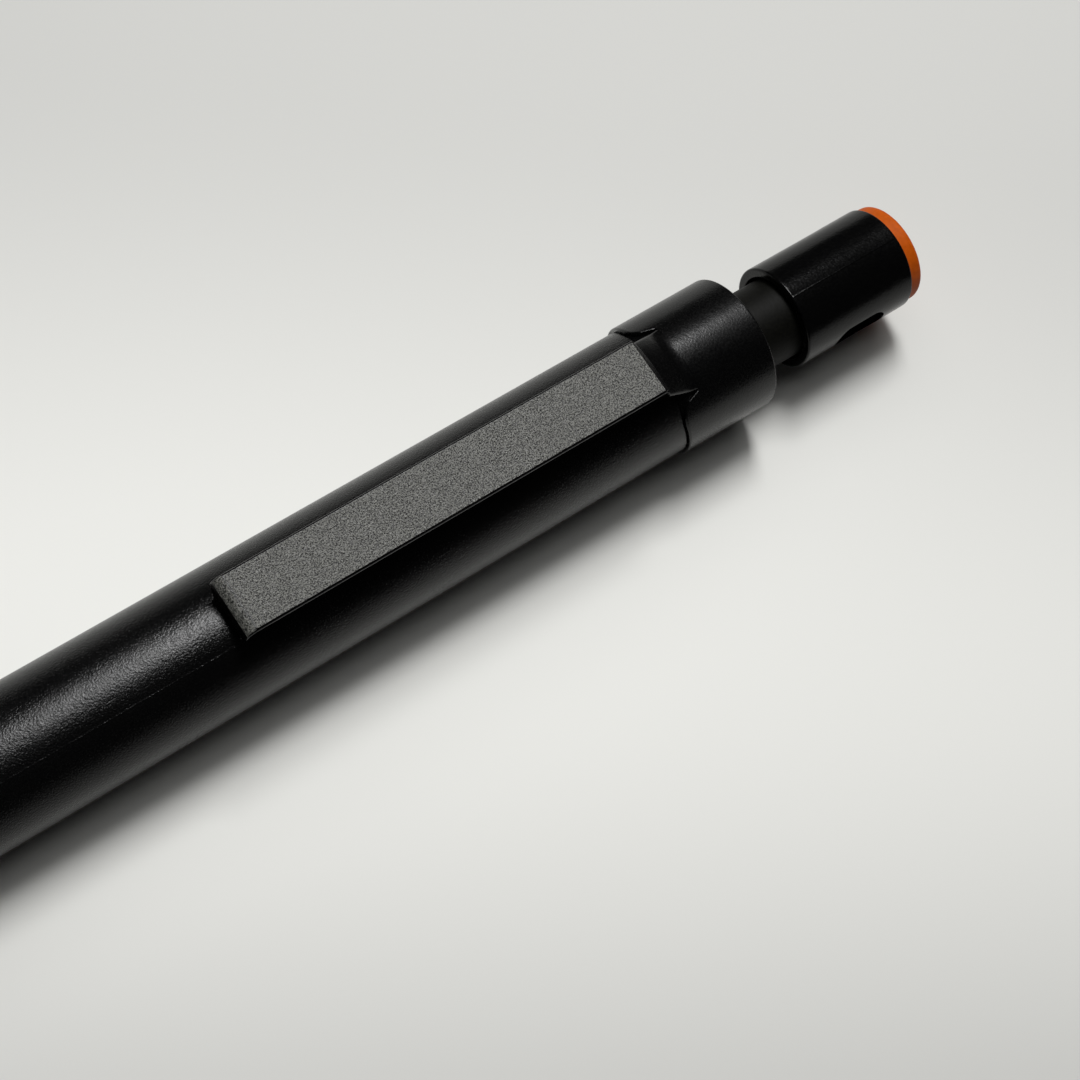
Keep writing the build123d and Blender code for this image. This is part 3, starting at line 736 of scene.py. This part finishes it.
def spring():
    """Round wire with its end turns closed up."""
    low, high = span("return_spring")
    wire, closing = 0.2, 0.85
    radius = high.z - wire
    turns, sides, points_per_turn = 9, 10, 32
    steps = turns * points_per_turn
    start, end = low.x + wire, high.x - wire

    def centre(step):
        """The middle of the wire; closing draws the end turns together."""
        share = step / steps
        close = share - math.sin(2 * math.pi * share) / (2 * math.pi) * closing
        turn = 2 * math.pi * turns * share
        return Vector((start + (end - start) * close, radius * math.sin(turn), radius * math.cos(turn)))

    sections = []
    for step in range(steps + 1):
        middle = centre(step)
        along = (centre(step + 0.5) - centre(step - 0.5)).normalized()
        outward = Vector((0, middle.y, middle.z)).normalized()
        binormal = along.cross(outward).normalized()
        outward = binormal.cross(along)
        ring = []
        for side in range(sides):
            turn = 2 * math.pi * side / sides
            ring.append(middle + wire * (math.cos(turn) * outward + math.sin(turn) * binormal))
        sections.append(ring)
    found = piece("spring", lofted(sections), SPRING_STEEL, None, "return_spring")
    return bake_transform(found)


# ---------------------------------------------------------------- the pieces that keep their CAD mesh

INNER_PIECES = {
    "clutch_housing": INNER_PLASTIC,
    "reservoir_coupler": INNER_PLASTIC,
    "reservoir_tube": RESERVOIR_PLASTIC,
    "lead_retainer": SEAL_RUBBER,
    "clutch_ring": CHUCK_BRASS,
    "chuck_body": CHUCK_BRASS,
    "chuck_jaw_1": CHUCK_BRASS,
    "chuck_jaw_2": CHUCK_BRASS,
    "chuck_jaw_3": CHUCK_BRASS,
    "eraser_ferrule": FERRULE_STEEL,
    "cleaning_needle": SPRING_STEEL,
    "loaded_lead": GRAPHITE,
    "spare_leads": GRAPHITE,
}


def finish_inner_pieces():
    """Gives each CAD node that still shows its own material."""
    for name, material in INNER_PIECES.items():
        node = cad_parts[name]
        for index in range(len(node.material_slots)):
            node.material_slots[index].material = material


# ---------------------------------------------------------------- camera, floor and light

def facing(azimuth, elevation, roll=0):
    """A turn that looks back along an azimuth and elevation: azimuth 0 looks along +Y."""
    turn = Matrix.Rotation(math.radians(azimuth), 4, "Z")
    tilt = Matrix.Rotation(math.radians(90 - elevation), 4, "X")
    return turn @ tilt @ Matrix.Rotation(math.radians(roll), 4, "Z")


def place_camera():
    """The view from close above the clip, along the rear half of the pencil."""
    aim = Vector((109.73, -4.84, 0))
    distance, azimuth, elevation, roll, lens = 146.5, -64.83, 67.13, 32.13, 76.73
    camera = bpy.data.cameras.new("camera")
    camera.lens = lens
    camera.clip_start = 1 * MM
    found = bpy.data.objects.new("camera", camera)
    bpy.context.scene.collection.objects.link(found)
    turn = facing(azimuth, elevation, roll)
    back = turn @ Vector((0, 0, 1))
    found.matrix_world = Matrix.Translation((aim + back * distance) * MM) @ turn
    bpy.context.scene.camera = found


FLOOR_SIZE = 8000
FLOOR_PAINTED_SHADE_FRONT = (0.52, 0.52, 0.50)          # painted shade: the floor's colour on the side away from the lamps
FLOOR_PAINTED_POOL = (0.74, 0.74, 0.71)            # painted pool of light beside the pencil's rear half
FLOOR_PAINTED_SHADE_BACK = (0.55, 0.55, 0.53)           # painted shade on the lamps' side
SHADE_DIRECTION = (0.56, 0.83, 0)         # from the front tone to the back tone
SHADE_START, SHADE_END = 5, 92
DIM_START, DIM_END, DIM_TO = 10, 90, 0.8  # painted shade: the floor's colour falls in brightness away from the pencil
DIM_SQUEEZE = (0.35, 1, 0)                # makes it reach further along the pencil than across
FLOOR_DISTANT = (0.66, 0.66, 0.635)       # the plain tone well away from the pencil
DISTANT_START, DISTANT_END = 66, 150
DISTANT_SQUEEZE = (0.6, 1, 0)


def distance_from(tree, centre, squeeze):
    """How far a point of the floor is from a point in millimetres, with both squeezed first."""
    place = tree.nodes.new("ShaderNodeTexCoord")
    squeezed = tree.nodes.new("ShaderNodeVectorMath")
    squeezed.operation = "MULTIPLY"
    squeezed.inputs[1].default_value = squeeze
    tree.links.new(place.outputs["Object"], squeezed.inputs[0])
    found = tree.nodes.new("ShaderNodeVectorMath")
    found.operation = "DISTANCE"
    found.inputs[1].default_value = [along * factor * MM for along, factor in zip(centre, squeeze)]
    tree.links.new(squeezed.outputs["Vector"], found.inputs[0])
    return found.outputs["Value"]


def floor_material():
    """A pale matt floor with a painted pool of light beside the pencil's rear half and painted shade round
    it, and one plain tone well away from it.
    """
    found, tree, shader = new_material("floor_paper")
    # Painted light and shade: a pale band beside the pencil's rear half between darker tones, and the colour
    # dimmed further from the pencil.
    place = tree.nodes.new("ShaderNodeTexCoord")
    across = tree.nodes.new("ShaderNodeVectorMath")
    across.operation = "DOT_PRODUCT"
    across.inputs[1].default_value = SHADE_DIRECTION
    tree.links.new(place.outputs["Object"], across.inputs[0])
    shade = tree.nodes.new("ShaderNodeValToRGB")
    shade.color_ramp.interpolation = "EASE"
    front, back = shade.color_ramp.elements
    front.position, front.color = 0.0, (*FLOOR_PAINTED_SHADE_FRONT, 1)
    back.position, back.color = 1.0, (*FLOOR_PAINTED_SHADE_BACK, 1)
    shade.color_ramp.elements.new(0.5).color = (*FLOOR_PAINTED_POOL, 1)
    share = remap(tree, across.outputs["Value"], 0, 1, SHADE_START * MM, SHADE_END * MM)
    tree.links.new(share, shade.inputs["Fac"])
    around = distance_from(tree, (X_END / 2, 4, 0), DIM_SQUEEZE)
    dimmed = remap(tree, around, 1, DIM_TO, DIM_START * MM, DIM_END * MM)
    colour = tree.nodes.new("ShaderNodeMix")
    colour.data_type = "RGBA"
    colour.blend_type = "MULTIPLY"
    colour.inputs["Factor"].default_value = 1
    tree.links.new(shade.outputs["Color"], colour.inputs["A"])
    tree.links.new(dimmed, colour.inputs["B"])
    tree.links.new(colour.outputs["Result"], shader.inputs["Base Color"])
    shader.inputs["Roughness"].default_value = 0.9
    shader.inputs["Specular IOR Level"].default_value = 0.0

    # The distant floor only looks pale: it gives the pencil no light.
    path = tree.nodes.new("ShaderNodeLightPath")
    seen = combined(tree, "MAXIMUM", path.outputs["Is Camera Ray"], path.outputs["Is Glossy Ray"])
    seen = combined(tree, "MAXIMUM", seen, path.outputs["Is Transmission Ray"])
    away = distance_from(tree, (X_END / 2, 0, 0), DISTANT_SQUEEZE)
    distant = remap(tree, away, 0, 1, DISTANT_START * MM, DISTANT_END * MM, "SMOOTHSTEP")
    plain = tree.nodes.new("ShaderNodeEmission")
    plain.inputs["Color"].default_value = (*FLOOR_DISTANT, 1)
    surface = tree.nodes.new("ShaderNodeMixShader")
    tree.links.new(combined(tree, "MULTIPLY", seen, distant), surface.inputs["Fac"])
    tree.links.new(shader.outputs["BSDF"], surface.inputs[1])
    tree.links.new(plain.outputs["Emission"], surface.inputs[2])
    tree.links.new(surface.outputs["Shader"], tree.nodes["Material Output"].inputs["Surface"])
    found.cycles.emission_sampling = "NONE"
    return found


def lay_floor():
    """One flat sheet under the pencil."""
    mesh = bmesh.new()
    bmesh.ops.create_grid(mesh, x_segments=1, y_segments=1, size=FLOOR_SIZE / 2 * MM)
    data = bpy.data.meshes.new("floor")
    mesh.to_mesh(data)
    mesh.free()
    data.materials.append(floor_material())
    found = bpy.data.objects.new("floor", data)
    found.location.z = FLOOR_HEIGHT * MM
    bpy.context.scene.collection.objects.link(found)


def soft_box(name, centre, aim, size, power):
    """A rectangular lamp that points at aim and can't be seen: lengths in millimetres, power in watts."""
    lamp = bpy.data.lights.new(name, "AREA")
    lamp.shape = "RECTANGLE"
    lamp.size, lamp.size_y = size[0] * MM, size[1] * MM
    lamp.energy = power
    found = bpy.data.objects.new(name, lamp)
    turn = (Vector(aim) - Vector(centre)).to_track_quat("-Z", "Y").to_matrix().to_4x4()
    found.matrix_world = Matrix.Translation(Vector(centre) * MM) @ turn
    found.visible_camera = False
    bpy.context.scene.collection.objects.link(found)
    return found


def light_the_room():
    """A soft box whose image is the highlight, and a wide fill that the glossy plastic doesn't mirror."""
    soft_box("key", (192, 122, 300), (110, 0, 0), (70, 140), 1.1)
    fill = soft_box("fill", (520, 1500, 3750), (70, 0, 0), (4500, 4500), 79)
    fill.visible_glossy = False
    room = 0.015
    world = bpy.data.worlds.new("room")
    world.use_nodes = True
    background = world.node_tree.nodes["Background"]
    background.inputs["Color"].default_value = (room, room, room, 1)
    bpy.context.scene.world = world


for build in (barrel, grip, cone, sleeve, collar, clip, neck, button, disc, eraser_block, spring):
    build()
finish_inner_pieces()
place_camera()
lay_floor()
light_the_room()
bpy.context.scene.view_settings.view_transform = "Standard"
